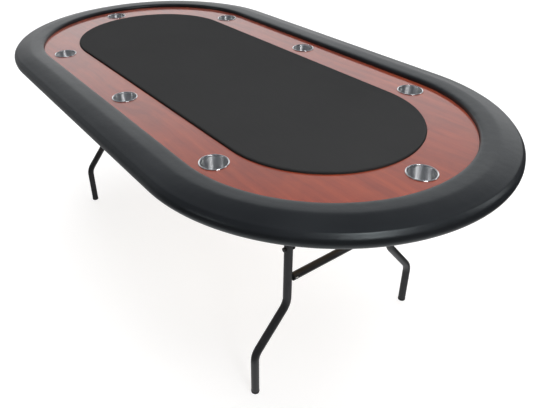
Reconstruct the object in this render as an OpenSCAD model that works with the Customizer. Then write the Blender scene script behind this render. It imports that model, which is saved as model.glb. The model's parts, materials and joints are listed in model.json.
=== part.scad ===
// Oval poker table with a padded rail, a raised cloth playing field, a veneered
// racetrack with eight drop-in cup holders, and two folding tubular leg sets.
// Millimetres. Origin on the floor under the middle of the top, +X along the
// length of the table, +Y across it, +Z up.

/* [Table top] */
// Overall height, floor to the crown of the padded rail
table_h = 787; // [760:1:820]
// Overall width across the two long sides
table_w = 1118; // [1110:1:1130]
// Length of the straight part of each long side
straight = 1000; // [960:10:1200]
// Width of the padded rail, seen from above
rail_w = 115.5; // [112:0.5:118]
// Depth of the racetrack surface below the crown of the rail
rail_rise = 15.5; // [14:0.5:17]
// Half width of the raised playing field
field_r = 305.5; // [300:0.5:308]
// Height of the playing cloth above the racetrack
field_rise = 7.5; // [6:0.5:9]
// Thickness of the plywood base board
base_t = 18; // [15:1:18]
// Thickness of the racetrack board
track_t = 15; // [13:1:16]

/* [Cup holders] */
// Outside diameter of the rolled lip
cup_lip_d = 82; // [80:1:86]
// Inside diameter of the cup at its mouth
cup_in_d = 73; // [70:1:74]
// Depth of the cup below the racetrack
cup_depth = 61; // [50:1:61]
// Distance of the long-side cups from the middle of the table, along X
cup_x = 523; // [480:1:540]
// Distance of every cup from the centre line of its side, across the racetrack
cup_r = 377; // [374:1:380]

/* [Leg sets] */
// Distance of each folding leg set from the middle of the table
leg_x = 660; // [640:1:720]
// Sideways offset of each leg set, so that the folded feet pass each other
leg_shift = 16; // [16:1:20]
// Outside diameter of the leg tube
tube_d = 25.4; // [22:0.2:25.4]
// Wall thickness of the leg tube
tube_wall = 1.5; // [1.2:0.1:2]
// Half distance between the upper parts of the two legs
upper_y = 219; // [219:1:222]
// Half distance between the feet
lower_y = 338; // [325:1:345]
// Height of the upper knee of the leg
knee_hi = 306; // [290:1:315]
// Height of the lower knee of the leg
knee_lo = 162; // [140:1:175]
// Radius of the two bends of the leg, at the centre line of the tube
bend_r = 65; // [50:1:75]
// Height of the crossbar between the two legs
bar_z = 398; // [385:1:410]
// Distance of the brace bolt below the hinge tube
bolt_drop = 180; // [170:1:185]
// Distance of the brace bracket from the hinge tube
brace_reach = 245; // [235:1:250]

/* [Hidden] */
$fn = 64;

R = table_w / 2;                       // outer radius of the rail
S = straight;
track_z = table_h - rail_rise;         // top of the racetrack
track_b = track_z - track_t;           // top of the base board
base_b = track_b - base_t;             // underside of the base board
batten_t = 30;
batten_b = base_b - batten_t;          // underside of the battens
field_z = track_z + field_rise;        // top of the playing cloth
foam_t = 3.5;
cloth_t = 1;
core_z = track_b + 18;                 // top of the plywood ring in the rail
Rin = R - rail_w;                      // inner wall of the rail
Rcore = R - 18;                        // edge of the base board and of the rail core
skin = 1.2;
hinge_z = batten_b - 16.5;             // centre of the hinge tube
hinge_r = 11;
tube_r = tube_d / 2;
bolt_z = hinge_z - bolt_drop;
brace_l = sqrt(bolt_drop * bolt_drop + brace_reach * brace_reach);
stay_hi = (brace_l + brace_reach - bolt_drop) / 2;   // length of the upper stay
stay_lo = (brace_l - brace_reach + bolt_drop) / 2;   // length of the lower stay
stay_a = atan(bolt_drop / brace_reach);              // slope of the open brace
stay_w = 20;
stay_t = 3;
// planes of the brace parts, measured across the table from the middle of a leg set
pl_lo = upper_y - tube_r - 0.5 - stay_t;             // inner face of the lower stay
pl_hi = pl_lo - 7.1;                                 // inner face of the upper stay
pl_ear = pl_hi - 0.5 - stay_t;                       // inner face of the bracket ear
gap_y = 32;

// ---------- plan shapes: half turns at the two ends, straight runs between ----------
module sweep(pts, s = S, fn = 180) {
  for (a = [0, 180]) rotate([0, 0, a]) {
    translate([s / 2, 0, 0]) rotate([0, 0, -90]) rotate_extrude(angle = 180, $fn = fn) polygon(pts);
    translate([-s / 2, 0, 0]) rotate([90, 0, 90]) linear_extrude(s) polygon(pts);
  }
}
// full oval plate of half width r between two heights
module plate(r, z0, z1, s = S) {
  for (a = [0, 180]) rotate([0, 0, a])
    translate([s / 2, 0, 0]) rotate([0, 0, -90]) rotate_extrude(angle = 180, $fn = 180)
      polygon([[0, z0], [r, z0], [r, z1], [0, z1]]);
  translate([-s / 2, -r, z0]) cube([s, 2 * r, z1 - z0]);
}

// ---------- where things go ----------
CUPS = [[-cup_x, -cup_r], [0, -cup_r], [cup_x, -cup_r], [S / 2 + cup_r, 0],
        [cup_x, cup_r], [0, cup_r], [-cup_x, cup_r], [-S / 2 - cup_r, 0]];
bolt_r = R - 54;
RAIL_BOLTS = concat([for (x = [-S * 0.4, 0, S * 0.4]) each [[x, -bolt_r], [x, bolt_r]]],
  [for (e = [1, -1], t = [-60, -20, 20, 60]) [e * (S / 2 + bolt_r * cos(t)), bolt_r * sin(t)]]);
track_mid = (Rin + field_r) / 2;
TRACK_SCREWS = concat([for (x = [-S * 0.25, S * 0.25], y = [-track_mid, track_mid]) [x, y]],
  [for (e = [1, -1], t = [-50, 50]) [e * (S / 2 + track_mid * cos(t)), track_mid * sin(t)]]);
FIELD_SCREWS = [for (x = [-560, -187, 187, 560], y = [-235, 235]) [x, y]];
BATTEN_SCREWS = concat(
  [for (e = [-1, 1], y = [-150, -50, 50, 150]) [e * leg_x, y]],
  [for (e = [-1, 1], y = [-110, 0, 110]) [e * (leg_x - brace_reach), y]],
  [for (x = [-300, -100, 100, 300], y = [-130, 130]) [x, y]]);

// ---------- boards ----------
module screw_bore(p, z0, z1) translate([p[0], p[1], z0]) cylinder(r = 2.1, h = z1 - z0, $fn = 24);

module base_board() color("#c9a877") difference() {
  plate(Rcore, base_b, track_b);
  for (c = CUPS) translate([c[0], c[1], base_b - 1]) cylinder(r = cup_in_d / 2 + 1.7, h = base_t + 2, $fn = 96);
  for (p = RAIL_BOLTS) translate([p[0], p[1], base_b - 1]) cylinder(r = 3.3, h = base_t + 2, $fn = 32);
  for (p = TRACK_SCREWS) { screw_bore(p, base_b - 1, track_b + 1); translate([p[0], p[1], base_b - 0.01]) cylinder(r1 = 4.4, r2 = 2.1, h = 2.5, $fn = 32); }
  for (p = FIELD_SCREWS) { screw_bore(p, base_b - 1, track_b + 1); translate([p[0], p[1], base_b - 0.01]) cylinder(r1 = 4.4, r2 = 2.1, h = 2.5, $fn = 32); }
  for (p = BATTEN_SCREWS) screw_bore(p, base_b - 1, base_b + 12);
}

module batten(w, l) translate([-w / 2, -l / 2, batten_b]) cube([w, l, batten_t]);
module batten_bores(ps) for (p = ps) {
  screw_bore(p, batten_b - 1, base_b + 1);
  translate([p[0], p[1], batten_b - 0.01]) cylinder(r1 = 4.4, r2 = 2.1, h = 2.5, $fn = 32);
}
// pilot holes of the hinge bracket screws and of the brace bracket screws
HINGE_SCREW_Y = [254.5, 271.5];
function hinge_screws_at(e) = [for (s = [-1, 1], dx = [-35, 35], y = HINGE_SCREW_Y) [e * leg_x + dx, -e * leg_shift + s * y]];
function brace_screws_at(e) = [for (s = [-1, 1], dx = [-15, 15]) [e * (leg_x - brace_reach) + dx, -e * leg_shift + s * (pl_ear - 18)]];

module hinge_battens() color("#b98d57") for (e = [-1, 1]) difference() {
  translate([e * leg_x, 0, 0]) batten(100, 2 * (290 + leg_shift) + 20);
  batten_bores([for (y = [-150, -50, 50, 150]) [e * leg_x, y]]);
  for (p = hinge_screws_at(e)) translate([p[0], p[1], batten_b - 1]) cylinder(r = 2, h = 23, $fn = 24);
}
module brace_battens() color("#b98d57") for (e = [-1, 1]) difference() {
  translate([e * (leg_x - brace_reach), 0, 0]) batten(70, 2 * (pl_ear + leg_shift) + 30);
  batten_bores([for (y = [-110, 0, 110]) [e * (leg_x - brace_reach), y]]);
  for (p = brace_screws_at(e)) translate([p[0], p[1], batten_b - 1]) cylinder(r = 2, h = 21, $fn = 24);
}
module long_battens() color("#b98d57") for (s = [-1, 1]) difference() {
  l = 2 * (leg_x - brace_reach - 35) - 6;
  translate([-l / 2, s * 130 - 35, batten_b]) cube([l, 70, batten_t]);
  batten_bores([for (x = [-300, -100, 100, 300]) [x, s * 130]]);
}
// countersunk wood screw, head flush at height z, point upwards
module wood_screw(p, z, l) translate([p[0], p[1], z]) {
  cylinder(r1 = 4.2, r2 = 2, h = 2.4, $fn = 32);
  translate([0, 0, 2.4]) cylinder(r = 2, h = l - 2.4, $fn = 24);
}
module batten_screws() color("#8f9194") for (p = BATTEN_SCREWS) wood_screw(p, batten_b + 0.1, batten_t + 11);
module board_screws() color("#8f9194") {
  for (p = TRACK_SCREWS) wood_screw(p, base_b + 0.1, base_t + 9);
  for (p = FIELD_SCREWS) wood_screw(p, base_b + 0.1, base_t + 12);
}

module racetrack() color("#7a2a1c") difference() {
  sweep([[field_r + 1.5, track_b], [Rin - 0.8, track_b], [Rin - 0.8, track_z], [field_r + 1.5, track_z]]);
  for (c = CUPS) translate([c[0], c[1], track_b - 1]) cylinder(r = cup_in_d / 2 + 1.7, h = track_t + 2, $fn = 96);
  for (p = TRACK_SCREWS) screw_bore(p, track_b - 1, track_b + 10);
}
module playfield_board() color("#b59b74") difference() {
  plate(field_r - 2.2, track_b, field_z - cloth_t - foam_t);
  for (p = FIELD_SCREWS) screw_bore(p, track_b - 1, track_b + 13);
}
module playfield_foam() color("#d8d2b8") plate(field_r - 2.2, field_z - cloth_t - foam_t, field_z - cloth_t);
module playing_cloth() color("#303030") {
  plate(field_r - 1.8, field_z - cloth_t, field_z);
  sweep([[field_r - 2, track_b + 1], [field_r, track_b + 1], [field_r, field_z - 2.4], [field_r - 0.7, field_z - 0.7], [field_r - 1.9, field_z - 0.05], [field_r - 2, field_z - cloth_t]]);
}

// ---------- padded rail ----------
// outer line of the rail, from the foot of the inner wall over the crown to the underside
RAIL = [[Rin, track_b + 0.6], [Rin, table_h - 9], [Rin + 1.6, table_h - 5.2], [Rin + 5, table_h - 2.2], [Rin + 10, table_h - 0.6], [Rin + 17, table_h],
        [Rin + 32, table_h - 0.3], [Rin + 48, table_h - 1.3], [Rin + 64, table_h - 3], [R - 35.5, table_h - 5.6], [R - 22, table_h - 8.8], [R - 14, table_h - 11.4],
        [R - 9.5, table_h - 14], [R - 5.2, table_h - 17.6], [R - 2, table_h - 22.5], [R - 0.4, table_h - 28.5], [R, table_h - 33], [R - 0.5, table_h - 38.5],
        [R - 2.2, table_h - 43.6], [R - 5, table_h - 47.6], [R - 8.5, base_b - skin], [R - 36, base_b - skin]];
// the same line moved inwards by t, with the normals of a travelling line
function nrm(a, b) = let (d = b - a, l = norm(d)) [d[1] / l, -d[0] / l];
function inset(p, t) = [for (i = [0:len(p) - 1]) let (
    n0 = i == 0 ? nrm(p[0], p[1]) : nrm(p[i - 1], p[i]), n1 = i == len(p) - 1 ? n0 : nrm(p[i], p[i + 1]),
    m = n0 + n1, k = 2 / (m * m)) p[i] + m * k * t];
function rev(p) = [for (i = [len(p) - 1:-1:0]) p[i]];
module rail_vinyl() color("#1c1d20") sweep(concat(RAIL, rev(inset(RAIL, skin))));
module rail_foam() color("#d9d4c4") {
  q = inset(RAIL, skin + 0.15);
  sweep(concat([[Rin + 1.6, core_z + 0.1]], [for (i = [2:len(q) - 2]) [max(q[i][0], Rin + 1.6), max(q[i][1], base_b + 0.3)]],
    [[Rcore + 0.3, base_b + 0.3], [Rcore + 0.3, core_z + 0.1]]));
}
module rail_core() color("#c9a877") difference() {
  sweep([[Rin + 1.5, track_b + 0.05], [Rcore, track_b + 0.05], [Rcore, core_z], [Rin + 1.5, core_z]]);
  for (p = RAIL_BOLTS) translate([p[0], p[1], track_b - 1]) {
    cylinder(r = 4.3, h = 30, $fn = 32);
    translate([0, 0, core_z - track_b + 1 - 1.6]) cylinder(r = 9.6, h = 5, $fn = 32);
  }
}
module rail_staples() color("#a8aaad") {
  n = 18;
  for (i = [0:n - 1], s = [-1, 1]) translate([-S / 2 + (i + 0.5) * S / n - 5, s * (R - 30) - 0.7, base_b - skin - 0.6]) cube([10, 1.4, 0.6]);
  for (e = [-1, 1], t = [-84:8.4:84.1]) translate([e * S / 2, 0, 0]) rotate([0, 0, t + (e < 0 ? 180 : 0)])
    translate([R - 30.7, -5, base_b - skin - 0.6]) cube([1.4, 10, 0.6]);
}
module rail_bolts() color("#8f9194") for (p = RAIL_BOLTS) translate([p[0], p[1], base_b - 1.5]) {
  translate([0, 0, -4]) cylinder(r = 6, h = 4, $fn = 6);
  cylinder(r = 3, h = 1.5 + base_t + 16, $fn = 32);
}
module rail_washers() color("#a8aaad") for (p = RAIL_BOLTS) translate([p[0], p[1], base_b - 1.5]) difference() {
  cylinder(r = 9, h = 1.5, $fn = 48);
  translate([0, 0, -1]) cylinder(r = 3.2, h = 4, $fn = 32);
}
module rail_tee_nuts() color("#a8aaad") for (p = RAIL_BOLTS) translate([p[0], p[1], core_z]) difference() {
  union() { translate([0, 0, -1.5]) cylinder(r = 9.4, h = 1.4, $fn = 32); translate([0, 0, -12]) cylinder(r = 4.2, h = 11, $fn = 32); }
  translate([0, 0, -14]) cylinder(r = 3.05, h = 16, $fn = 32);
}

// ---------- cup holders ----------
module cup(i) color("#c8cbce") translate([CUPS[i][0], CUPS[i][1], track_z]) {
  ri = cup_in_d / 2; ro = cup_lip_d / 2; w = 0.9; b = -cup_depth;
  rotate_extrude($fn = 96) polygon([
    [0, b], [ri - 8, b], [ri - 5, b + 0.7], [ri - 2.6, b + 2.4], [ri - 1.2, b + 5], [ri - 0.9, b + 8], [ri + w, -1.4],
    [ri + w + 0.2, 0.15], [ro - 0.6, 0.15], [ro, 0.7], [ro, 1.3], [ro - 0.7, 2.2], [ro - 2, 2.7], [ri + 1.4, 2.7], [ri + 0.5, 2.1], [ri + 0.1, 1], [ri, -0.5],
    [ri - 0.9 - w, b + 8.4], [ri - 1.2 - w, b + 5.6], [ri - 3.4, b + 3], [ri - 5.6, b + 1.6], [ri - 8.2, b + w], [0, b + w]]);
}
module cup_front_left() cup(0);
module cup_front_centre() cup(1);
module cup_front_right() cup(2);
module cup_right_end() cup(3);
module cup_back_right() cup(4);
module cup_back_centre() cup(5);
module cup_back_left() cup(6);
module cup_left_end() cup(7);

// ---------- places of the leg sets: e is +1 for the right set, -1 for the left ----------
// the left set is the right set turned half way round about the vertical, so both fold inwards
module leg_set(e) rotate([0, 0, e > 0 ? 0 : 180]) translate([leg_x, -leg_shift, 0]) children();
// in a leg set, the same piece on both sides of its middle plane
module both() { children(); mirror([0, 1, 0]) children(); }
module along_y(y0, y1, r, fn = 48) translate([0, y0, 0]) rotate([-90, 0, 0]) cylinder(r = r, h = y1 - y0, $fn = fn);

// sheet steel channel that carries one end of the hinge tube
module hinge_bracket() difference() {
  union() {
    translate([-45, 246, batten_b - 2.5]) cube([90, 34, 2.5]);
    for (y = [246, 277.5]) {
      translate([-16, y, hinge_z]) cube([32, 2.5, batten_b - hinge_z - 1]);
      translate([0, 0, hinge_z]) along_y(y, y + 2.5, 16, 64);
    }
  }
  translate([0, 0, hinge_z]) along_y(240, 290, hinge_r + 0.05, 64);
  for (dx = [-35, 35], y = HINGE_SCREW_Y) translate([dx, y, batten_b - 5]) cylinder(r = 2.3, h = 8, $fn = 24);
}
module hinge_brackets_right() color("#2a2b2d") leg_set(1) both() hinge_bracket();
module hinge_brackets_left() color("#2a2b2d") leg_set(-1) both() hinge_bracket();
module pan_screw(z, l) translate([0, 0, z]) {
  translate([0, 0, -2.4]) cylinder(r1 = 3.2, r2 = 4.4, h = 2.4, $fn = 32);
  cylinder(r = 2, h = l, $fn = 24);
}
module hinge_screws() color("#8f9194") for (e = [-1, 1]) leg_set(e) both()
  for (dx = [-35, 35], y = HINGE_SCREW_Y) translate([dx, y, 0]) pan_screw(batten_b - 2.5, 22);

// angle bracket that carries the upper stay
module brace_bracket() difference() {
  union() {
    translate([-brace_reach - 25, pl_ear - 34, batten_b - 3]) cube([50, 37, 3]);
    translate([-brace_reach - 12, pl_ear, hinge_z]) cube([24, stay_t, batten_b - hinge_z - 1]);
    translate([-brace_reach, 0, hinge_z]) along_y(pl_ear, pl_ear + stay_t, 12, 48);
  }
  translate([-brace_reach, 0, hinge_z]) along_y(pl_ear - 5, pl_ear + 8, 4, 32);
  for (dx = [-15, 15]) translate([-brace_reach + dx, pl_ear - 18, batten_b - 5]) cylinder(r = 2.3, h = 8, $fn = 24);
}
module brace_brackets_right() color("#2a2b2d") leg_set(1) both() brace_bracket();
module brace_brackets_left() color("#2a2b2d") leg_set(-1) both() brace_bracket();
module brace_bracket_screws() color("#8f9194") for (e = [-1, 1]) leg_set(e) both()
  for (dx = [-15, 15]) translate([-brace_reach + dx, pl_ear - 18, 0]) pan_screw(batten_b - 3, 20);
module bracket_rivets() color("#8f9194") for (e = [-1, 1]) leg_set(e) both() translate([-brace_reach, 0, hinge_z]) {
  along_y(pl_ear - 2, pl_ear, 7, 32);
  along_y(pl_ear, pl_hi + stay_t + 0.3, 4, 32);
  along_y(pl_hi + stay_t + 0.3, pl_hi + stay_t + 2.3, 7, 32);
}

// ---------- moving leg set ----------
module hinge_tube() translate([0, 0, hinge_z]) difference() {
  along_y(-286, 286, hinge_r, 64);
  along_y(-287, 287, hinge_r - 1.5, 64);
}
module hinge_tube_right() color("#1b1b1c") leg_set(1) hinge_tube();
module hinge_tube_left() color("#1b1b1c") leg_set(-1) hinge_tube();
module hinge_plug() translate([0, 0, hinge_z]) { along_y(286, 289.5, hinge_r + 1, 48); along_y(272, 286, hinge_r - 1.6, 48); }
module hinge_plugs_right() color("#101010") leg_set(1) both() hinge_plug();
module hinge_plugs_left() color("#101010") leg_set(-1) both() hinge_plug();

// centre line of a leg: down, outwards at the upper knee, down again at the lower knee
leg_a = atan((lower_y - upper_y) / (knee_hi - knee_lo));
leg_t = bend_r * tan(leg_a / 2);
leg_m = norm([lower_y - upper_y, knee_hi - knee_lo]) - 2 * leg_t;
// drawn in a plane: x outwards, y up; a bend is a hair slimmer than the straight runs, as in a bent tube
module pipe_run(r, e) {
  translate([upper_y, knee_hi + leg_t, 0]) rotate([-90, 0, 0]) rotate([0, 0, 90]) cylinder(r = r, h = hinge_z - knee_hi - leg_t + e, $fn = 40);
  translate([upper_y + bend_r, knee_hi + leg_t, 0]) rotate([0, 0, 180]) rotate_extrude(angle = leg_a, $fn = 72) translate([bend_r, 0]) circle(r = r - 0.05, $fn = 40);
  translate([upper_y + leg_t * sin(leg_a), knee_hi - leg_t * cos(leg_a), 0]) rotate([0, 0, leg_a]) rotate([90, 0, 0]) rotate([0, 0, 90]) cylinder(r = r, h = leg_m, $fn = 40);
  translate([lower_y - bend_r, knee_lo - leg_t, 0]) rotate_extrude(angle = leg_a, $fn = 72) translate([bend_r, 0]) circle(r = r - 0.05, $fn = 40);
  translate([lower_y, 9 - e, 0]) rotate([-90, 0, 0]) rotate([0, 0, 90]) cylinder(r = r, h = knee_lo - leg_t - 9 + e, $fn = 40);
}
module leg() difference() {
  rotate([90, 0, 90]) difference() { pipe_run(tube_r, 0); pipe_run(tube_r - tube_wall, 2); }
  translate([0, 0, hinge_z]) along_y(upper_y - 20, upper_y + 20, hinge_r, 64);
  translate([0, 0, bolt_z]) along_y(upper_y - 20, upper_y + 20, 4.1, 32);
}
module leg_front_right() color("#1b1b1c") leg_set(1) mirror([0, 1, 0]) leg();
module leg_back_right() color("#1b1b1c") leg_set(1) leg();
module leg_front_left() color("#1b1b1c") leg_set(-1) leg();
module leg_back_left() color("#1b1b1c") leg_set(-1) mirror([0, 1, 0]) leg();

bar_end = upper_y - tube_r - 4;
module crossbar() translate([0, 0, bar_z]) difference() {
  along_y(-bar_end, bar_end, 12.2, 64);
  along_y(-bar_end - 1, bar_end + 1, 10.9, 64);
  for (s = [-1, 1]) translate([-20, s * (bar_end - 9), 0]) rotate([0, 90, 0]) cylinder(r = 3, h = 40, $fn = 32);
}
module crossbar_right() color("#1b1b1c") leg_set(1) crossbar();
module crossbar_left() color("#1b1b1c") leg_set(-1) crossbar();
// flat tongue between crossbar and leg, coped to the leg
module crossbar_lug() difference() {
  translate([-3, bar_end - 20, bar_z - 9.5]) cube([6, 30, 19]);
  translate([0, upper_y, bar_z - 20]) cylinder(r = tube_r, h = 40);
  translate([-20, bar_end - 9, bar_z]) rotate([0, 90, 0]) cylinder(r = 3, h = 40, $fn = 32);
}
module crossbar_lugs_right() color("#1b1b1c") leg_set(1) both() crossbar_lug();
module crossbar_lugs_left() color("#1b1b1c") leg_set(-1) both() crossbar_lug();
module crossbar_rivet() translate([0, bar_end - 9, bar_z]) rotate([0, 90, 0]) {
  translate([0, 0, -12.3]) cylinder(r = 3, h = 24.6, $fn = 32);
  translate([0, 0, 12.2]) cylinder(r1 = 5, r2 = 3.4, h = 2, $fn = 32);
  translate([0, 0, -14.2]) cylinder(r1 = 3.4, r2 = 5, h = 2, $fn = 32);
}
module crossbar_rivets_right() color("#8f9194") leg_set(1) both() crossbar_rivet();
module crossbar_rivets_left() color("#8f9194") leg_set(-1) both() crossbar_rivet();

// through bolt of the brace: hexagon head outside, low nut inside
module brace_bolt() translate([0, 0, bolt_z]) {
  along_y(upper_y + tube_r + 0.2, upper_y + tube_r + 5.2, 7.6, 6);
  along_y(pl_lo - 3.4, upper_y + tube_r + 0.2, 4, 32);
  along_y(pl_lo - 3.4, pl_lo - 0.4, 7.6, 6);
}
module brace_bolts_right() color("#151515") leg_set(1) both() brace_bolt();
module brace_bolts_left() color("#151515") leg_set(-1) both() brace_bolt();

module foot_cap() translate([0, lower_y, 0]) rotate_extrude($fn = 64)
  polygon([[0, 0], [10.6, 0], [12, 0.4], [12.9, 1.4], [13.2, 3], [13.2, 8.2], [12.6, 9], [tube_r - tube_wall - 0.05, 9],
    [tube_r - tube_wall - 0.05, 27], [tube_r - tube_wall - 1.2, 28], [8.5, 28], [8.5, 4], [0, 4]]);
module foot_caps_right() color("#101010") leg_set(1) both() foot_cap();
module foot_caps_left() color("#101010") leg_set(-1) both() foot_cap();

// flat stay with round ends, from the origin towards +X, drilled at both ends
module stay(l, y, r0, r1) difference() {
  union() {
    translate([0, y, -stay_w / 2]) cube([l, stay_t, stay_w]);
    along_y(y, y + stay_t, stay_w / 2, 48);
    translate([l, 0, 0]) along_y(y, y + stay_t, stay_w / 2, 48);
  }
  along_y(y - 1, y + stay_t + 1, r0, 32);
  translate([l, 0, 0]) along_y(y - 1, y + stay_t + 1, r1, 32);
}
module on_upper() translate([-brace_reach, 0, hinge_z]) rotate([0, stay_a, 0]) children();
module on_lower() translate([0, 0, bolt_z]) rotate([0, 180 + stay_a, 0]) children();
module upper_stay() on_upper() stay(stay_hi, pl_hi, 4.05, 4);
module lower_stay() on_lower() stay(stay_lo, pl_lo, 4.05, 4);
module upper_stays_right() color("#1b1b1c") leg_set(1) both() upper_stay();
module upper_stays_left() color("#1b1b1c") leg_set(-1) both() upper_stay();
module lower_stays_right() color("#1b1b1c") leg_set(1) both() lower_stay();
module lower_stays_left() color("#1b1b1c") leg_set(-1) both() lower_stay();
// knee of the brace: a rivet in the upper stay, and a shouldered spacer in the lower stay
module knee_rivet() on_upper() translate([stay_hi, 0, 0]) {
  along_y(pl_hi - 2, pl_hi, 7, 32);
  along_y(pl_hi, pl_hi + stay_t, 4, 32);
}
module knee_spacer() on_lower() translate([stay_lo, 0, 0]) {
  along_y(pl_hi + stay_t + 0.4, pl_lo, 7, 32);
  along_y(pl_lo, pl_lo + stay_t, 4, 32);
}
module knee_rivets_right() color("#8f9194") leg_set(1) both() knee_rivet();
module knee_rivets_left() color("#8f9194") leg_set(-1) both() knee_rivet();
module knee_spacers_right() color("#8f9194") leg_set(1) both() knee_spacer();
module knee_spacers_left() color("#8f9194") leg_set(-1) both() knee_spacer();

base_board();
hinge_battens();
brace_battens();
long_battens();
batten_screws();
racetrack();
playfield_board();
playfield_foam();
playing_cloth();
board_screws();
rail_core();
rail_foam();
rail_vinyl();
rail_staples();
rail_bolts();
rail_washers();
rail_tee_nuts();
cup_front_left();
cup_front_centre();
cup_front_right();
cup_right_end();
cup_back_right();
cup_back_centre();
cup_back_left();
cup_left_end();
hinge_brackets_right();
hinge_brackets_left();
hinge_screws();
brace_brackets_right();
brace_brackets_left();
brace_bracket_screws();
bracket_rivets();
hinge_tube_right();
hinge_tube_left();
hinge_plugs_right();
hinge_plugs_left();
leg_front_right();
leg_back_right();
leg_front_left();
leg_back_left();
crossbar_right();
crossbar_left();
crossbar_lugs_right();
crossbar_lugs_left();
crossbar_rivets_right();
crossbar_rivets_left();
brace_bolts_right();
brace_bolts_left();
foot_caps_right();
foot_caps_left();
upper_stays_right();
upper_stays_left();
lower_stays_right();
lower_stays_left();
knee_rivets_right();
knee_rivets_left();
knee_spacers_right();
knee_spacers_left();
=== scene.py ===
import bpy, bmesh, math, json
import numpy as np
from mathutils import Vector, Matrix, noise


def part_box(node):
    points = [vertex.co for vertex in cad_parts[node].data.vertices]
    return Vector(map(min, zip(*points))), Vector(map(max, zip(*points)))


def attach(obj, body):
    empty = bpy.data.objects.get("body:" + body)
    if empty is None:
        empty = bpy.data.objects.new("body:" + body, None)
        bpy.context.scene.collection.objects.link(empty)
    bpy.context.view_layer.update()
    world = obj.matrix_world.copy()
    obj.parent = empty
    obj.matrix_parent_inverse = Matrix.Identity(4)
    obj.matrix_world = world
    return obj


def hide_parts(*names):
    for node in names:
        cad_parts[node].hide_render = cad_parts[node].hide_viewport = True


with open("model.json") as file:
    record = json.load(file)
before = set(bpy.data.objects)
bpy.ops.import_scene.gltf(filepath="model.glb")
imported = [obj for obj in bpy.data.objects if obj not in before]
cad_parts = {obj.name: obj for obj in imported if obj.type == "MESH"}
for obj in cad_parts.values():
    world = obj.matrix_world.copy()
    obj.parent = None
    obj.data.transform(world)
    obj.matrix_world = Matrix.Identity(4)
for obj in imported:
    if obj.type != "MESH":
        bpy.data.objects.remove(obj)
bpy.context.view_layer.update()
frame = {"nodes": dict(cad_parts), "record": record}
NODES = frame["nodes"]

# ------------------------------------------------------------------ sizes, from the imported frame
lo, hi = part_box("rail_vinyl")
R = hi.y                          # outer radius of the rail
S = (hi.x - lo.x) - 2 * R         # length of the straight sides
H = hi.z                          # crown of the rail
RAIL_LOW = lo.z
lo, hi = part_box("racetrack")
TRACK_Z, TRACK_B, R_TRACK = hi.z, lo.z, hi.y
lo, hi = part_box("playing_cloth")
FIELD_Z, FIELD_LOW, R_FIELD = hi.z, lo.z, hi.y
lo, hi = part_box("base_board")
BASE_B = lo.z
R_IN = R_TRACK + 0.0008           # inner wall of the rail


# ------------------------------------------------------------------ mesh helpers
def make(name, verts, faces, mat=None, smooth=True, sharp=None):
    me = bpy.data.meshes.new(name)
    me.from_pydata([tuple(v) for v in verts], [], [tuple(f) for f in faces])
    me.validate(clean_customdata=False)
    me.update()
    ob = bpy.data.objects.new(name, me)
    bpy.context.scene.collection.objects.link(ob)
    if smooth:
        me.polygons.foreach_set("use_smooth", [True] * len(me.polygons))
        if sharp is not None:
            me.set_sharp_from_angle(angle=math.radians(sharp))
    if mat is not None:
        me.materials.append(mat)
    return ob


def stations(n_arc, n_str):
    """(centre x, centre y, outward x, outward y, along) round the stadium, anticlockwise from the right end."""
    out = []
    length = 0.0
    quarter = math.pi * R
    for e, a0 in ((1, -90), (-1, 90)):
        for i in range(n_arc):
            a = math.radians(a0 + 180.0 * i / n_arc)
            out.append((e * S / 2, 0.0, math.cos(a), math.sin(a), length + quarter * i / n_arc))
        length += quarter
        for i in range(n_str):
            x = e * (S / 2 - S * i / n_str)
            out.append((x, 0.0, 0.0, float(e), length + S * i / n_str))
        length += S
    return out, length


def sweep_ring(name, profile, st, mat, shape=None, sharp=None, closed=True):
    """Sweeps a closed (r, z) outline round the stadium. shape(i, j, r, z) may move a point."""
    P, M = len(profile), len(st)
    verts = []
    for i, (cx, cy, ox, oy, s) in enumerate(st):
        for j, (r, z) in enumerate(profile):
            if shape:
                r, z = shape(i, j, r, z)
            verts.append((cx + ox * r, cy + oy * r, z))
    faces = []
    for i in range(M):
        k = (i + 1) % M
        for j in range(P if closed else P - 1):
            l = (j + 1) % P
            faces.append((i * P + j, k * P + j, k * P + l, i * P + l))
    return make(name, verts, faces, mat, sharp=sharp)


def spline(pts, n):
    """Centripetal Catmull-Rom through pts, n points a span."""
    p = [np.array(q, float) for q in pts]
    p = [2 * p[0] - p[1]] + p + [2 * p[-1] - p[-2]]
    out = []
    for i in range(1, len(p) - 2):
        t0 = 0.0
        t1 = t0 + np.linalg.norm(p[i] - p[i - 1]) ** 0.5
        t2 = t1 + np.linalg.norm(p[i + 1] - p[i]) ** 0.5
        t3 = t2 + np.linalg.norm(p[i + 2] - p[i + 1]) ** 0.5
        for k in range(n):
            t = t1 + (t2 - t1) * k / n
            a1 = (t1 - t) / (t1 - t0) * p[i - 1] + (t - t0) / (t1 - t0) * p[i]
            a2 = (t2 - t) / (t2 - t1) * p[i] + (t - t1) / (t2 - t1) * p[i + 1]
            a3 = (t3 - t) / (t3 - t2) * p[i + 1] + (t - t2) / (t3 - t2) * p[i + 2]
            b1 = (t2 - t) / (t2 - t0) * a1 + (t - t0) / (t2 - t0) * a2
            b2 = (t3 - t) / (t3 - t1) * a2 + (t - t1) / (t3 - t1) * a3
            out.append((t2 - t) / (t2 - t1) * b1 + (t - t1) / (t2 - t1) * b2)
    out.append(p[-2])
    return out


def inset(pts, t):
    out = []
    n = len(pts)
    for i in range(n):
        a = pts[max(i - 1, 0)]
        b = pts[min(i + 1, n - 1)]
        d = np.array(b) - np.array(a)
        d = d / (np.linalg.norm(d) + 1e-12)
        out.append(np.array(pts[i]) + t * np.array([d[1], -d[0]]))
    return out


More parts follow.
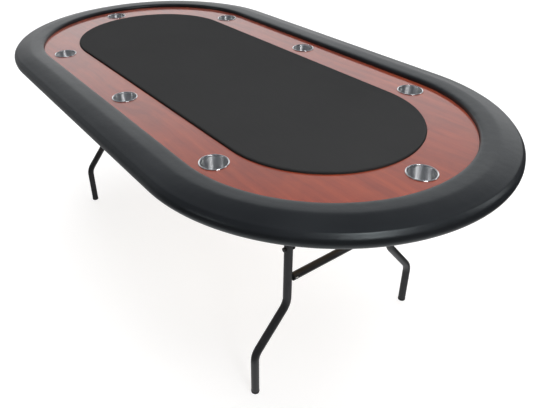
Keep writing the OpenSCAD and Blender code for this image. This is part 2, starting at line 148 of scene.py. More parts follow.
def lathe(name, profile, centre, mat, n=96, sharp=None, shape=None):
    """Closed (r, z) outline turned about the vertical through centre; points at r = 0 close the form."""
    verts, faces, ring = [], [], []
    for (r, z) in profile:
        if r < 1e-7:
            ring.append([len(verts)] * n)
            verts.append((centre[0], centre[1], centre[2] + z))
        else:
            ring.append(list(range(len(verts), len(verts) + n)))
            for i in range(n):
                a = 2 * math.pi * i / n
                rr, zz = (r, z) if shape is None else shape(a, r, z)
                verts.append((centre[0] + rr * math.cos(a), centre[1] + rr * math.sin(a), centre[2] + zz))
    m = len(profile)
    for j in range(m):
        k = (j + 1) % m
        a, b = ring[j], ring[k]
        if a[0] == a[1] and b[0] == b[1]:
            continue
        for i in range(n):
            l = (i + 1) % n
            f = [a[i], a[l], b[l], b[i]]
            f = [v for q, v in enumerate(f) if v not in f[:q]]
            if len(f) > 2:
                faces.append(f)
    return make(name, verts, faces, mat, sharp=sharp)


def tube(name, path, rad, mat, n=32, wall=0.0, flat=None, sharp=40):
    """Round tube along path points; with wall, a hollow one. flat(i) gives (across, in plane) scale factors."""
    path = [Vector(p) for p in path]
    m = len(path)
    side = None
    verts = []
    tang = []
    for i in range(m):
        a = path[max(i - 1, 0)]
        b = path[min(i + 1, m - 1)]
        tang.append((b - a).normalized())
    ref = Vector((1, 0, 0)) if abs(tang[0].x) < 0.9 else Vector((0, 1, 0))
    layers = [1.0] + ([(rad - wall) / rad] if wall else [])
    rings = {q: [] for q in range(len(layers))}
    for q, f in enumerate(layers):
        for i in range(m):
            u = (ref - tang[i] * ref.dot(tang[i])).normalized()
            v = tang[i].cross(u)
            fu, fv = flat(i) if flat else (1.0, 1.0)
            ring = []
            for k in range(n):
                a = 2 * math.pi * k / n
                ring.append(len(verts))
                verts.append(path[i] + rad * f * (math.cos(a) * fu * u + math.sin(a) * fv * v))
            rings[q].append(ring)
    faces = []
    for i in range(m - 1):
        for k in range(n):
            l = (k + 1) % n
            o = rings[0]
            faces.append((o[i][k], o[i][l], o[i + 1][l], o[i + 1][k]))
            if wall:
                w = rings[1]
                faces.append((w[i][l], w[i][k], w[i + 1][k], w[i + 1][l]))
    for i, flip in ((0, False), (m - 1, True)):
        if wall:
            o, w = rings[0][i], rings[1][i]
            for k in range(n):
                l = (k + 1) % n
                f = (o[l], o[k], w[k], w[l])
                faces.append(f[::-1] if flip else f)
        else:
            o = rings[0][i]
            faces.append(tuple(o) if flip else tuple(o[::-1]))
    return make(name, verts, faces, mat, sharp=sharp)


# ------------------------------------------------------------------ materials
class M:
    """A small helper to write node materials."""

    def __init__(self, name):
        self.m = bpy.data.materials.new(name)
        self.m.use_nodes = True
        self.t = self.m.node_tree
        self.n, self.l = self.t.nodes, self.t.links
        self.b = self.n["Principled BSDF"]
        self.tc = self.n.new("ShaderNodeTexCoord")

    def node(self, kind, **kw):
        nd = self.n.new("ShaderNode" + kind)
        ins = kw.pop("ins", {})
        for k, v in kw.items():
            setattr(nd, k, v)
        for k, v in ins.items():
            if isinstance(v, bpy.types.NodeSocket):
                self.l.new(v, nd.inputs[k])
            else:
                nd.inputs[k].default_value = v
        return nd

    def coords(self, scale=(1, 1, 1), rot=(0, 0, 0)):
        mp = self.node("Mapping")
        mp.inputs["Scale"].default_value = scale
        mp.inputs["Rotation"].default_value = rot
        self.l.new(self.tc.outputs["Object"], mp.inputs["Vector"])
        return mp.outputs["Vector"]

    def noise(self, vec, scale, detail=3.0, rough=0.55, dist=0.0):
        nd = self.node("TexNoise", ins={"Vector": vec, "Scale": scale, "Detail": detail, "Roughness": rough, "Distortion": dist})
        return nd.outputs["Fac"]

    def ramp(self, fac, stops, interp="LINEAR"):
        nd = self.node("ValToRGB", ins={"Fac": fac})
        cr = nd.color_ramp
        cr.interpolation = interp
        while len(cr.elements) > len(stops):
            cr.elements.remove(cr.elements[-1])
        while len(cr.elements) < len(stops):
            cr.elements.new(0.5)
        for e, (p, c) in zip(cr.elements, stops):
            e.position = p
            e.color = tuple(c) + (1,) if len(c) == 3 else c
        return nd.outputs["Color"]

    def mix(self, fac, a, b, mode="MIX"):
        nd = self.node("Mix", data_type="RGBA", blend_type=mode)
        for sock, v in ((nd.inputs[0], fac), (nd.inputs[6], a), (nd.inputs[7], b)):
            if isinstance(v, bpy.types.NodeSocket):
                self.l.new(v, sock)
            elif sock is nd.inputs[0]:
                sock.default_value = v
            else:
                sock.default_value = tuple(v) + (1,)
        return nd.outputs[2]

    def math(self, op, a, b=0.0):
        nd = self.node("Math", operation=op)
        for sock, v in ((nd.inputs[0], a), (nd.inputs[1], b)):
            if isinstance(v, bpy.types.NodeSocket):
                self.l.new(v, sock)
            else:
                sock.default_value = v
        return nd.outputs[0]

    def mapr(self, v, a, b, c, d):
        nd = self.node("MapRange", ins={0: v, 1: a, 2: b, 3: c, 4: d})
        return nd.outputs[0]

    def bump(self, height, strength, distance, normal=None):
        nd = self.node("Bump", ins={"Height": height, "Strength": strength, "Distance": distance})
        if normal is not None:
            self.l.new(normal, nd.inputs["Normal"])
        return nd.outputs["Normal"]

    def set(self, **kw):
        names = {"color": "Base Color", "rough": "Roughness", "metal": "Metallic", "normal": "Normal", "coat": "Coat Weight", "coat_rough": "Coat Roughness",
                 "coat_ior": "Coat IOR", "coat_normal": "Coat Normal", "spec": "Specular IOR Level", "ior": "IOR", "sheen": "Sheen Weight", "sheen_rough": "Sheen Roughness",
                 "aniso": "Anisotropic", "tint": "Specular Tint", "coat_tint": "Coat Tint"}
        for k, v in kw.items():
            s = self.b.inputs[names[k]]
            if isinstance(v, bpy.types.NodeSocket):
                self.l.new(v, s)
            elif isinstance(v, (tuple, list)) and len(v) == 3:
                s.default_value = tuple(v) + (1,)
            else:
                s.default_value = v
        return self.m


def vinyl():
    m = M("rail_vinyl_grain")
    v = m.coords()
    vor = m.node("TexVoronoi", feature="SMOOTH_F1", ins={"Vector": v, "Scale": 620.0, "Smoothness": 0.35, "Randomness": 0.9}).outputs["Distance"]
    fine = m.noise(v, 1900.0, 3.0, 0.6)
    h = m.math("ADD", m.math("MULTIPLY", vor, 0.8), m.math("MULTIPLY", fine, 0.35))
    broad = m.noise(v, 5.5, 3.0, 0.5)
    mid = m.noise(v, 38.0, 2.0, 0.5)
    n1 = m.bump(mid, 0.10, 0.004)
    n2 = m.bump(h, 0.30, 0.00035, n1)
    col = m.mix(m.mapr(broad, 0.35, 0.68, 0.0, 1.0), (0.0085, 0.0091, 0.0105), (0.0118, 0.0126, 0.0144))
    col = m.mix(m.mapr(vor, 0.0, 0.55, 0.55, 0.0), col, (0.0050, 0.0053, 0.0060))
    rough = m.math("ADD", m.mapr(broad, 0.3, 0.7, 0.29, 0.35), m.mapr(fine, 0.3, 0.7, -0.02, 0.03))
    return m.set(color=col, rough=rough, normal=n2, spec=0.5, tint=(0.87, 0.97, 1.0))


def speed_cloth():
    m = M("speed_cloth_weave")
    v = m.coords()
    w1 = m.node("TexWave", wave_type="BANDS", bands_direction="X", wave_profile="SIN", ins={"Vector": v, "Scale": 560.0, "Distortion": 0.4, "Detail": 1.0, "Detail Scale": 2.0}).outputs["Fac"]
    w2 = m.node("TexWave", wave_type="BANDS", bands_direction="Y", wave_profile="SIN", ins={"Vector": v, "Scale": 560.0, "Distortion": 0.4, "Detail": 1.0, "Detail Scale": 2.0}).outputs["Fac"]
    weave = m.math("MULTIPLY", w1, w2)
    fuzz = m.noise(v, 1500.0, 3.0, 0.65)
    slub = m.noise(m.coords((14.0, 260.0, 60.0)), 1.0, 3.0, 0.6)
    broad = m.noise(v, 3.0, 3.0, 0.55)
    col = m.mix(m.mapr(broad, 0.3, 0.7, 0.0, 1.0), (0.0350, 0.0350, 0.0352), (0.0390, 0.0390, 0.0392))
    col = m.mix(m.mapr(slub, 0.35, 0.75, 0.0, 0.30), col, (0.0450, 0.0450, 0.0453))
    col = m.mix(m.mapr(weave, 0.0, 1.0, 0.28, 0.0), col, (0.0190, 0.0190, 0.0191))
    h = m.math("ADD", m.math("MULTIPLY", weave, 0.7), m.math("MULTIPLY", fuzz, 0.5))
    return m.set(color=col, rough=m.mapr(fuzz, 0.3, 0.7, 0.80, 0.92), normal=m.bump(h, 0.22, 0.00025), spec=0.03, sheen=0.0)


def veneer():
    m = M("racetrack_red_veneer")
    # figure: long soft streaks along the table, bent by a slow warp, with a cloudy cross figure
    warp = m.node("TexNoise", ins={"Vector": m.coords((1.3, 2.2, 1.0)), "Scale": 1.6, "Detail": 2.0, "Roughness": 0.5}).outputs["Color"]
    vadd = m.node("VectorMath", operation="MULTIPLY_ADD")
    m.l.new(warp, vadd.inputs[0])
    vadd.inputs[1].default_value = (0.10, 0.085, 0.0)
    m.l.new(m.tc.outputs["Object"], vadd.inputs[2])

    def warped(scale):
        mp = m.node("Mapping")
        mp.inputs["Scale"].default_value = scale
        m.l.new(vadd.outputs[0], mp.inputs["Vector"])
        return mp.outputs["Vector"]

    streak = m.noise(warped((2.6, 42.0, 10.0)), 1.0, 5.0, 0.55)
    fine = m.noise(warped((9.0, 210.0, 40.0)), 1.0, 4.0, 0.6)
    pores = m.noise(warped((60.0, 1500.0, 200.0)), 1.0, 2.0, 0.5)
    cloud = m.noise(m.coords((5.5, 9.0, 4.0)), 1.0, 3.0, 0.6)
    flame = m.noise(warped((7.0, 13.0, 4.0)), 1.0, 4.0, 0.6, 0.6)
    col = m.ramp(streak, [(0.28, (0.165, 0.024, 0.010)), (0.5, (0.232, 0.034, 0.013)), (0.72, (0.300, 0.050, 0.017))])
    col = m.mix(m.mapr(fine, 0.32, 0.68, 0.34, 0.0), col, (0.130, 0.018, 0.011))
    col = m.mix(m.mapr(cloud, 0.36, 0.66, 0.0, 0.36), col, (0.145, 0.030, 0.018))
    col = m.mix(m.mapr(flame, 0.45, 0.70, 0.0, 0.30), col, (0.340, 0.060, 0.018))
    col = m.mix(m.mapr(pores, 0.60, 0.78, 0.0, 0.35), col, (0.140, 0.020, 0.012))
    peel = m.noise(m.coords(), 70.0, 2.0, 0.5)
    return m.set(color=col, rough=m.mapr(fine, 0.3, 0.7, 0.30, 0.40), spec=0.05, coat=1.0, coat_rough=0.09, coat_ior=1.6, sheen=0.18, sheen_rough=0.35,
                 normal=m.bump(fine, 0.05, 0.0002), coat_normal=m.bump(peel, 0.04, 0.0005))


def steel(name="cup_brushed_steel", base=(0.84, 0.845, 0.855)):
    m = M(name)
    rings = m.noise(m.coords((3.0, 3.0, 2600.0)), 1.0, 2.0, 0.6)
    fine = m.noise(m.coords((9.0, 9.0, 7000.0)), 1.0, 1.0, 0.5)
    smudge = m.noise(m.coords(), 45.0, 3.0, 0.55)
    col = m.mix(m.mapr(smudge, 0.38, 0.7, 0.0, 0.5), base, tuple(c * 0.88 for c in base))
    col = m.mix(m.mapr(rings, 0.35, 0.65, 0.18, 0.0), col, tuple(c * 0.72 for c in base))
    tan = m.node("Tangent", direction_type="RADIAL", axis="Z")
    m.l.new(tan.outputs[0], m.b.inputs["Tangent"])
    m.b.inputs["Anisotropic Rotation"].default_value = 0.25
    h = m.math("ADD", m.math("MULTIPLY", rings, 0.6), m.math("MULTIPLY", fine, 0.4))
    lip = m.node("SeparateXYZ", ins={0: m.coords()}).outputs[2]
    wall = m.mapr(lip, 0.7695, 0.7712, 0.35, 0.10)
    return m.set(color=col, metal=1.0, rough=m.math("ADD", wall, m.mapr(smudge, 0.4, 0.7, 0.0, 0.03)), aniso=0.98, normal=m.bump(h, 0.05, 0.00005))


def powder(name="powder_coat_black", c0=(0.016, 0.0165, 0.018), c1=(0.026, 0.0265, 0.029), rough=(0.36, 0.46)):
    m = M(name)
    v = m.coords()
    peel = m.noise(v, 420.0, 2.0, 0.5)
    dust = m.noise(v, 14.0, 4.0, 0.6)
    col = m.mix(m.mapr(dust, 0.35, 0.7, 0.0, 1.0), c0, c1)
    return m.set(color=col, rough=m.mapr(dust, 0.3, 0.7, *rough), normal=m.bump(peel, 0.16, 0.0004), spec=0.5)


def plastic(name, c=(0.012, 0.012, 0.013)):
    m = M(name)
    v = m.coords()
    tex = m.noise(v, 900.0, 2.0, 0.5)
    wear = m.noise(v, 25.0, 4.0, 0.6)
    col = m.mix(m.mapr(wear, 0.4, 0.75, 0.0, 1.0), c, tuple(x * 2.2 + 0.004 for x in c))
    return m.set(color=col, rough=m.mapr(wear, 0.3, 0.7, 0.48, 0.62), normal=m.bump(tex, 0.25, 0.0003))


def zinc(name="zinc_plate"):
    m = M(name)
    v = m.coords()
    s1 = m.noise(v, 160.0, 3.0, 0.6)
    s2 = m.noise(v, 30.0, 3.0, 0.6)
    col = m.mix(m.mapr(s2, 0.35, 0.7, 0.0, 1.0), (0.50, 0.50, 0.49), (0.62, 0.61, 0.57))
    return m.set(color=col, metal=1.0, rough=m.mapr(s1, 0.3, 0.7, 0.26, 0.42), normal=m.bump(s1, 0.08, 0.0002))


def board(name, light, dark, grain=(2.2, 60.0, 60.0), plies=False, rough=(0.55, 0.7)):
    m = M(name)
    v = m.coords(grain)
    g1 = m.noise(v, 1.0, 5.0, 0.6, 0.3)
    g2 = m.noise(m.coords(tuple(x * 7 for x in grain)), 1.0, 3.0, 0.6)
    cloud = m.noise(m.coords(), 3.5, 3.0, 0.5)
    col = m.mix(m.mapr(g1, 0.35, 0.68, 0.0, 1.0), light, dark)
    col = m.mix(m.mapr(g2, 0.5, 0.75, 0.0, 0.35), col, tuple(c * 0.6 for c in dark))
    col = m.mix(m.mapr(cloud, 0.35, 0.7, 0.0, 0.25), col, tuple(c * 0.8 for c in light))
    if plies:
        w = m.node("TexWave", wave_type="BANDS", bands_direction="Z", wave_profile="SIN", ins={"Vector": m.coords(), "Scale": 90.0, "Distortion": 0.6, "Detail": 1.0}).outputs["Fac"]
        geo = m.node("NewGeometry")
        sep = m.node("SeparateXYZ", ins={"Vector": geo.outputs["Normal"]})
        side = m.math("SUBTRACT", 1.0, m.math("MULTIPLY", m.math("ABSOLUTE", sep.outputs["Z"]), 4.0))
        f = m.math("MULTIPLY", m.mapr(side, 0.0, 1.0, 0.0, 1.0), m.mapr(w, 0.35, 0.65, 0.0, 0.6))
        col = m.mix(f, col, tuple(c * 0.45 for c in dark))
    return m.set(color=col, rough=m.mapr(g1, 0.3, 0.7, *rough), normal=m.bump(g2, 0.2, 0.0004))


def foam():
    m = M("foam_cells")
    v = m.coords()
    c = m.node("TexVoronoi", feature="F1", ins={"Vector": v, "Scale": 900.0}).outputs["Distance"]
    b = m.noise(v, 20.0, 3.0, 0.6)
    col = m.mix(m.mapr(c, 0.0, 0.6, 0.5, 0.0), m.mix(m.mapr(b, 0.3, 0.7, 0.0, 1.0), (0.62, 0.56, 0.40), (0.55, 0.48, 0.33)), (0.30, 0.26, 0.18))
    return m.set(color=col, rough=m.mapr(b, 0.3, 0.7, 0.88, 0.98), normal=m.bump(c, 0.5, 0.0005), spec=0.2)


MAT = {
    "black_vinyl": vinyl(), "speed_cloth": speed_cloth(), "racetrack_veneer": veneer(), "polished_steel": steel(),
    "black_powder_coat": powder(), "black_plastic": plastic("cap_plastic_black"), "black_steel": powder("black_oxide_steel", (0.010, 0.010, 0.011), (0.018, 0.018, 0.019), (0.34, 0.44)),
    "zinc_steel": zinc(), "plywood": board("base_plywood", (0.50, 0.345, 0.19), (0.36, 0.225, 0.11), plies=True),
    "fibreboard": board("fibreboard", (0.38, 0.265, 0.155), (0.31, 0.21, 0.12), (55.0, 60.0, 60.0)),
    "batten_pine": board("batten_pine", (0.58, 0.385, 0.19), (0.43, 0.245, 0.10), (2.5, 70.0, 70.0)),
    "foam": foam(),
}
slots = {s["node"]: s["material_slot"] for s in frame["record"]["subparts"]}
for n, ob in NODES.items():
    ob.data.materials.clear()
    ob.data.materials.append(MAT[slots[n]])
    ob.data.polygons.foreach_set("material_index", [0] * len(ob.data.polygons))

# ------------------------------------------------------------------ padded rail cover
ROUND = [  # (r, z): inner wall, soft inner shoulder, long crowned slope, firm outer edge, bulging side, turn under
    (R_IN, TRACK_B + 0.0008), (R_IN, H - 0.0130), (R_IN, H - 0.0085), (R_IN + 0.0011, H - 0.0052), (R_IN + 0.0042, H - 0.0027), (R_IN + 0.0095, H - 0.0012),
    (R_IN + 0.0170, H - 0.0003), (R_IN + 0.0280, H + 0.0004), (R_IN + 0.0390, H + 0.0009), (R_IN + 0.0500, H + 0.0008), (R_IN + 0.0640, H - 0.0015), (R - 0.0355, H - 0.0050),
    (R - 0.0220, H - 0.0086), (R - 0.0165, H - 0.0100), (R - 0.0135, H - 0.0109), (R - 0.0124, H - 0.01135), (R - 0.0114, H - 0.0120), (R - 0.0103, H - 0.0130), (R - 0.0078, H - 0.0155),
    (R - 0.0050, H - 0.0186), (R - 0.0030, H - 0.0214), (R - 0.0016, H - 0.0242), (R - 0.0006, H - 0.0280), (R - 0.0001, H - 0.0320), (R - 0.00005, H - 0.0345), (R - 0.0005, H - 0.0388), (R - 0.0021, H - 0.0437),
    (R - 0.0050, H - 0.0476), (R - 0.0088, RAIL_LOW), (R - 0.0150, RAIL_LOW), (R - 0.0360, RAIL_LOW + 0.0001)]
line = spline(ROUND, 4)
inner = inset(line, 0.0008)
outline = [tuple(p) for p in line] + [tuple(p) for p in inner[::-1]]
n_line = len(line)
st, around = stations(220, 150)
rr = np.array([p[0] for p in line])


def rail_shape(i, j, r, z):
    """Slight life in the stretched cover: slow dimples in the foam, tension puckers on the turns, gathers where it is stapled under."""
    cx, cy, ox, oy, s = st[i]
    k = j if j < n_line else 2 * n_line - 1 - j
    px, py = cx + ox * r, cy + oy * r
    w_top = max(0.0, min(1.0, (r - R_IN - 0.004) / 0.02)) * max(0.0, min(1.0, (z - (H - 0.030)) / 0.012))
    dimple = noise.noise(Vector((px * 7.0, py * 7.0, 3.1))) * 0.00042 + noise.noise(Vector((px * 22.0, py * 22.0, 9.7))) * 0.00012
    arc = 1.0 if abs(oy) < 0.999 else 0.0
    dz = w_top * (dimple - 0.00010)
    # short radial puckers near the inner shoulder on the two turns
    near_in = math.exp(-((r - R_IN - 0.006) / 0.009) ** 2) if z > H - 0.02 else 0.0
    ang = math.atan2(oy, ox)
    puck = noise.noise(Vector((ang * 21.0, 5.3, cx))) * 0.00026 + noise.noise(Vector((ang * 47.0, 1.7, cx))) * 0.00012
    dz += arc * near_in * (puck + 0.00010)
    # side: barely wavy where the hand pulls the cover down
    side = max(0.0, min(1.0, (H - 0.018 - z) / 0.010)) * max(0.0, min(1.0, (z - RAIL_LOW - 0.002) / 0.008)) * (1.0 if r > R - 0.05 else 0.0)
    dr = side * (noise.noise(Vector((s * 9.0, 2.2, z * 30.0))) * 0.00040 - 0.0001)
    # underside gathers
    under = 1.0 if (z < RAIL_LOW + 0.004 and r < R - 0.008) else 0.0
    gather = abs(noise.noise(Vector((s * 55.0, 8.8, 0.3)))) * (1.0 if arc else 0.35)
    dz -= under * (-0.0006 * gather) * max(0.0, min(1.0, (R - 0.008 - r) / 0.012))
    return r + dr, z + dz


rail = sweep_ring("rail_cover", outline, st, MAT["black_vinyl"], rail_shape)
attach(rail, "table_top")
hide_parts("rail_vinyl")

# ------------------------------------------------------------------ playing cloth, stretched over the field and pulled down its edge
prof = [(R_FIELD - 0.020, FIELD_Z - 0.00010), (R_FIELD - 0.0085, FIELD_Z - 0.00014), (R_FIELD - 0.0045, FIELD_Z - 0.00045), (R_FIELD - 0.0022, FIELD_Z - 0.00130),
        (R_FIELD - 0.0007, FIELD_Z - 0.0030), (R_FIELD - 0.0001, FIELD_Z - 0.0056), (R_FIELD, FIELD_Z - 0.0100), (R_FIELD, FIELD_LOW)]
flat_part = [(R_FIELD - 0.020) * k / 22.0 for k in range(22)]
top = [(r, FIELD_Z - 0.0001) for r in flat_part] + [tuple(p) for p in spline(prof, 4)]
low = [(r, FIELD_Z - 0.0009) for r in flat_part] + [tuple(p) for p in inset(spline(prof, 4), 0.0008)]
st2, _ = stations(120, 80)


def cloth_shape(i, j, r, z):
    cx, cy, ox, oy, s = st2[i]
    px, py = cx + ox * r, cy + oy * r
    edge = math.exp(-((R_FIELD - r) / 0.02) ** 2)
    dz = (noise.noise(Vector((px * 2.4, py * 2.4, 6.0))) * 0.00014 - 0.00006) * max(0.0, min(1.0, (z - FIELD_Z + 0.004) / 0.002))
    if z > FIELD_Z - 0.002:
        dz += edge * noise.noise(Vector((px * 24.0, py * 24.0, 1.0))) * 0.00008
    return r, z + dz


def sheet_ring(name, top, low, st, mat, shape):
    """Top and underside of a thin sheet swept round the stadium and closed along the middle line."""
    P, Mn = len(top), len(st)
    bm = bmesh.new()
    grid = {}
    for layer, pts in enumerate((top, low)):
        for i, (cx, cy, ox, oy, s) in enumerate(st):
            for j, (r, z) in enumerate(pts):
                a, b = shape(i, j, r, z)
                grid[layer, i, j] = bm.verts.new((cx + ox * a, cy + oy * a, b))
    for i in range(Mn):
        k = (i + 1) % Mn
        for j in range(P - 1):
            bm.faces.new((grid[0, i, j], grid[0, i, j + 1], grid[0, k, j + 1], grid[0, k, j]))
            bm.faces.new((grid[1, i, j], grid[1, k, j], grid[1, k, j + 1], grid[1, i, j + 1]))
        bm.faces.new((grid[0, i, P - 1], grid[1, i, P - 1], grid[1, k, P - 1], grid[0, k, P - 1]))
    bmesh.ops.remove_doubles(bm, verts=bm.verts[:], dist=0.00002)
    bmesh.ops.dissolve_degenerate(bm, edges=bm.edges[:], dist=0.00002)
    bmesh.ops.recalc_face_normals(bm, faces=bm.faces[:])
    me = bpy.data.meshes.new(name)
    bm.to_mesh(me)
    bm.free()
    ob = bpy.data.objects.new(name, me)
    bpy.context.scene.collection.objects.link(ob)
    me.polygons.foreach_set("use_smooth", [True] * len(me.polygons))
    me.set_sharp_from_angle(angle=math.radians(60))
    me.materials.append(mat)
    return ob


cloth = sheet_ring("cloth_field", top, low, st2, MAT["speed_cloth"], cloth_shape)
lo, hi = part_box("playfield_foam")
FOAM_LOW, R_FOAM = lo.z, hi.y
roll = [(min(q[0], R_FOAM), q[1]) for q in inset(spline(prof, 4), 0.00125)]
roll = [q for q in roll if q[1] > FOAM_LOW + 0.0003] + [(R_FOAM, FOAM_LOW)]
foam_top = [(r, FIELD_Z - 0.00135) for r in flat_part] + roll
foam_low = [(min(r, R_FOAM - 0.0002), FOAM_LOW) for r, z in foam_top[:-1]] + [(R_FOAM - 0.0001, FOAM_LOW)]
pad = sheet_ring("field_foam", foam_top, foam_low, st2, MAT["foam"], lambda i, j, r, z: (r, z))
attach(pad, "table_top")
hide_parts("playfield_foam")
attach(cloth, "table_top")
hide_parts("playing_cloth")

# ------------------------------------------------------------------ cup holders
CUPS = [n for n in NODES if n.startswith("cup_")]
for n in sorted(CUPS):
    lo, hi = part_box(n)
    c = ((lo.x + hi.x) / 2, (lo.y + hi.y) / 2, TRACK_Z)
    ro = (hi.x - lo.x + hi.y - lo.y) / 4 + 0.00005
    ri = ro - 0.00455
    b = lo.z - TRACK_Z
    w = 0.0009
    lip = [(ro - 0.0004, 0.00018), (ro - 0.00002, 0.0007), (ro - 0.00005, 0.0013), (ro - 0.0005, 0.0020), (ro - 0.0013, 0.00255), (ro - 0.0023, 0.0027), (ro - 0.0031, 0.0024), (ri + 0.0004, 0.0017), (ri + 0.0001, 0.0008), (ri, -0.0006)]
    inside = [(ri - 0.0003, -0.012), (ri - 0.0006, -0.026), (ri - 0.0009, -0.040), (ri - 0.0012, b + 0.0130), (ri - 0.0014, b + 0.0092), (ri - 0.0024, b + 0.0062), (ri - 0.0042, b + 0.0040), (ri - 0.0066, b + 0.0025), (ri - 0.0092, b + 0.0019), (ri - 0.0120, b + 0.0017)]
    floor = [(0.0200, b + 0.0016), (0.0190, b + 0.0013), (0.0182, b + 0.0012), (0.0090, b + 0.0012), (0.0, b + 0.0012)]
    out = [(0.0, b + 0.0002), (ri - 0.0100, b + 0.0002), (ri - 0.0058, b + 0.0008), (ri - 0.0026, b + 0.0028), (ri - 0.0010, b + 0.0056), (ri - 0.0005, b + 0.0086), (ri + 0.0007, -0.0016), (ri + 0.0009, 0.00016)]
    smooth_lip = [tuple(p) for p in spline(lip, 3)]
    profile = smooth_lip + [tuple(p) for p in spline(inside, 2)] + floor + out
    cup = lathe(n + "_steel", profile, c, MAT["polished_steel"], 128, sharp=50)
    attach(cup, "table_top")
    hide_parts(n)

# ------------------------------------------------------------------ CAD metal and wood: soften the hard edges
BEVELS = {"hinge_battens": 0.0008, "brace_battens": 0.0008, "long_battens": 0.0008, "hinge_brackets": 0.0004, "brace_brackets": 0.0004, "upper_stays": 0.0004, "lower_stays": 0.0004,
          "crossbar_lugs": 0.0004, "brace_bolts": 0.0004, "foot_caps": 0.0005}
for n, ob in NODES.items():
    if n.startswith(("rail_vinyl", "playing_cloth", "cup_", "playfield_foam")):
        continue
    wd = ob.modifiers.new("weld", "WELD")
    wd.merge_threshold = 0.00002
    width = next((w for k, w in BEVELS.items() if n.startswith(k)), None)
    ob.data.polygons.foreach_set("use_smooth", [True] * len(ob.data.polygons))
    if width:
        bv = ob.modifiers.new("edge", "BEVEL")
        bv.width = width
        bv.segments = 2
        bv.limit_method = "ANGLE"
        bv.angle_limit = math.radians(50)
        wn = ob.modifiers.new("even", "WEIGHTED_NORMAL")
        wn.weight = 100
        wn.keep_sharp = False
    else:
        es = ob.modifiers.new("split", "EDGE_SPLIT")
        es.split_angle = math.radians(35)

# ------------------------------------------------------------------ floor, light, camera
fm = M("floor_pale")
fn = fm.noise(fm.coords(), 2.0, 3.0, 0.5)
fm.set(color=fm.mix(fm.mapr(fn, 0.3, 0.7, 0.0, 1.0), (0.350, 0.352, 0.355), (0.365, 0.367, 0.370)), rough=0.8, spec=0.0)
fm.b.inputs["Emission Color"].default_value = (1.0, 1.0, 1.0, 1.0)
fm.b.inputs["Emission Strength"].default_value = 0.785
floor = make("studio_floor", [(-14, -14, 0), (14, -14, 0), (14, 14, 0), (-14, 14, 0)], [(0, 1, 2, 3)], fm.m, smooth=False)
floor.location.z = -0.0004
floor.visible_glossy = False

# studio surround: a white sweep low behind the table, a dim room above and towards the viewer
world = bpy.data.worlds.new("studio")
bpy.context.scene.world = world
world.use_nodes = True
wt = world.node_tree
wt.nodes.clear()


def wnode(kind, **kw):
    nd = wt.nodes.new("ShaderNode" + kind)
    ins = kw.pop("ins", {})
    for k, v in kw.items():
        setattr(nd, k, v)
    for k, v in ins.items():
        if isinstance(v, bpy.types.NodeSocket):
            wt.links.new(v, nd.inputs[k])
        else:
            nd.inputs[k].default_value = v
    return nd


def wmath(op, a, b=0.0, c=0.0):
    return wnode("Math", operation=op, ins={0: a, 1: b, 2: c}).outputs[0]


def wsmooth(v, a, b):
    nd = wnode("MapRange", interpolation_type="SMOOTHSTEP", ins={0: v, 1: a, 2: b, 3: 0.0, 4: 1.0})
    return nd.outputs[0]


sp = wnode("SeparateXYZ", ins={0: wnode("TexCoord").outputs["Generated"]})
wx, wy, wz = sp.outputs[0], sp.outputs[1], sp.outputs[2]
flat = wmath("SQRT", wmath("ADD", wmath("ADD", wmath("MULTIPLY", wx, wx), wmath("MULTIPLY", wy, wy)), 1e-5))


def azimuth(deg):
    c, s_ = math.cos(math.radians(deg)), math.sin(math.radians(deg))
    return wmath("DIVIDE", wmath("ADD", wmath("MULTIPLY", wx, c), wmath("MULTIPLY", wy, s_)), flat)


def strip(deg, half, z0, z1, level):
    """A tall strip light: its heading, half its width, its lower and upper edge, and how bright it is."""
    a = wsmooth(azimuth(deg), math.cos(math.radians(half * 1.35)), math.cos(math.radians(half * 0.8)))
    v = wmath("MULTIPLY", wsmooth(wz, z0 - 0.05, z0 + 0.05), wsmooth(wz, z1 + 0.06, z1 - 0.06))
    return wmath("MULTIPLY", wmath("MULTIPLY", a, v), level)


az = azimuth(138)
ramp = wnode("ValToRGB", ins={"Fac": wz})
e = ramp.color_ramp.elements
e[0].position, e[0].color = 0.0, (1, 1, 1, 1)
e[1].position, e[1].color = 0.78, (0, 0, 0, 1)
for p_, v_ in ((0.36, 1.0), (0.42, 0.95), (0.465, 0.82), (0.50, 0.70), (0.53, 0.61), (0.56, 0.51), (0.59, 0.40), (0.62, 0.27), (0.66, 0.13), (0.71, 0.04)):
    q = e.new(p_)
    q.color = (v_, v_, v_, 1)
left = wsmooth(azimuth(228), -0.02, 0.02)
right_win = wsmooth(az, 0.574, 0.866)
left_win = wmath("ADD", wmath("MULTIPLY", wsmooth(az, 0.74, 0.93), 0.66), wmath("MULTIPLY", wsmooth(az, -0.09, 0.42), 0.34))
window = wmath("ADD", wmath("MULTIPLY", left, left_win), wmath("MULTIPLY", wmath("SUBTRACT", 1.0, left), right_win))
sweep_part = wmath("MULTIPLY", wmath("MULTIPLY", ramp.outputs[0], window), wsmooth(wz, -0.06, 0.0))
low_part = wmath("MULTIPLY", wsmooth(wz, -0.50, -0.88), 0.85)
low_left = wmath("MULTIPLY", wmath("MULTIPLY", wsmooth(azimuth(180), 0.6, 1.0), wsmooth(wz, 0.02, -0.12)), 0.34)
low_part = wmath("MAXIMUM", low_part, low_left)
strips = wmath("ADD", wmath("ADD", strip(-100, 3.5, 0.14, 0.34, 3.0), strip(60, 5.0, 0.24, 0.62, 2.8)), strip(-10, 5.0, 0.48, 0.68, 15.0))
low_part = wmath("ADD", low_part, strips)
bright = wmath("ADD", wmath("MULTIPLY", sweep_part, 1.02), low_part)
dim = wmath("ADD", wmath("MULTIPLY", wsmooth(wz, 0.05, 0.5), 0.11), 0.045)
col = wnode("CombineColor", ins={0: wmath("MULTIPLY_ADD", dim, 0.94, bright), 1: wmath("MULTIPLY_ADD", dim, 1.0, bright), 2: wmath("MULTIPLY_ADD", dim, 1.10, bright)})
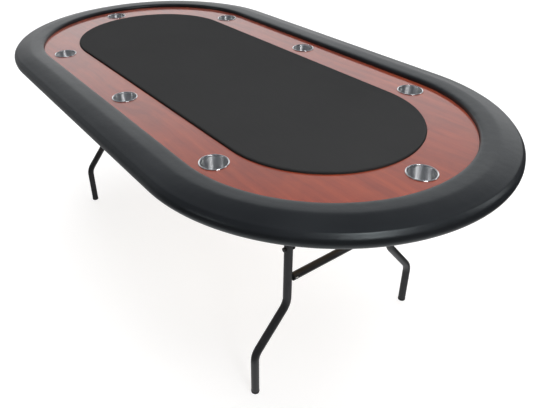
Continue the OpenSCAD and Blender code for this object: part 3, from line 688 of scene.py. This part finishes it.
bg = wnode("Background", ins={"Color": col.outputs[0], "Strength": 1.0})
wo = wnode("OutputWorld", ins={0: bg.outputs[0]})


def sun(name, direction, angle, strength):
    li = bpy.data.lights.new(name, "SUN")
    li.angle = math.radians(angle)
    li.energy = strength
    ob = bpy.data.objects.new(name, li)
    bpy.context.scene.collection.objects.link(ob)
    ob.rotation_mode = "QUATERNION"
    ob.rotation_quaternion = Vector(direction).to_track_quat("Z", "Y")
    ob.location = Vector(direction) * 4
    return ob


def softbox(name, loc, target, sx, sy, radiance):
    li = bpy.data.lights.new(name, "AREA")
    li.shape = "RECTANGLE"
    li.size, li.size_y = sx, sy
    li.energy = radiance * math.pi * sx * sy
    ob = bpy.data.objects.new(name, li)
    bpy.context.scene.collection.objects.link(ob)
    ob.location = loc
    ob.rotation_mode = "QUATERNION"
    ob.rotation_quaternion = (Vector(target) - Vector(loc)).to_track_quat("-Z", "Y")
    ob.visible_camera = False
    return ob


softbox("key_softbox", (1.715, -0.225, 2.065), (0.90, -0.20, 0.78), 0.40, 0.40, 15.0)
fill = sun("fill_overhead", (-0.08, 0.22, 0.97), 56, 2.48)
fill.visible_glossy = False

cam = bpy.data.cameras.new("camera")
cam.sensor_fit = "HORIZONTAL"
cam.sensor_width = 36.0
F, PX, PY = 563.168, 241.304, 171.375
cam.lens = F / 539.0 * 36.0
cam.shift_x = (269.5 - PX) / 539.0
cam.shift_y = (PY - 204.0) / 539.0
cam.clip_start, cam.clip_end = 0.05, 60.0
camo = bpy.data.objects.new("camera", cam)
bpy.context.scene.collection.objects.link(camo)
R0, R1, R2 = Vector((0.5816, 0.81322, -0.02021)), Vector((0.41229, -0.3161, -0.85446)), Vector((-0.70126, 0.48862, -0.51913))
rot = Matrix((R0, -R1, -R2)).transposed()
camo.rotation_mode = "QUATERNION"
camo.rotation_quaternion = rot.to_quaternion()
camo.location = (1.5848, -1.0319, 1.4997)
bpy.context.scene.camera = camo
bpy.context.scene.view_settings.view_transform = "Standard"
bpy.context.scene.view_settings.look = "None"
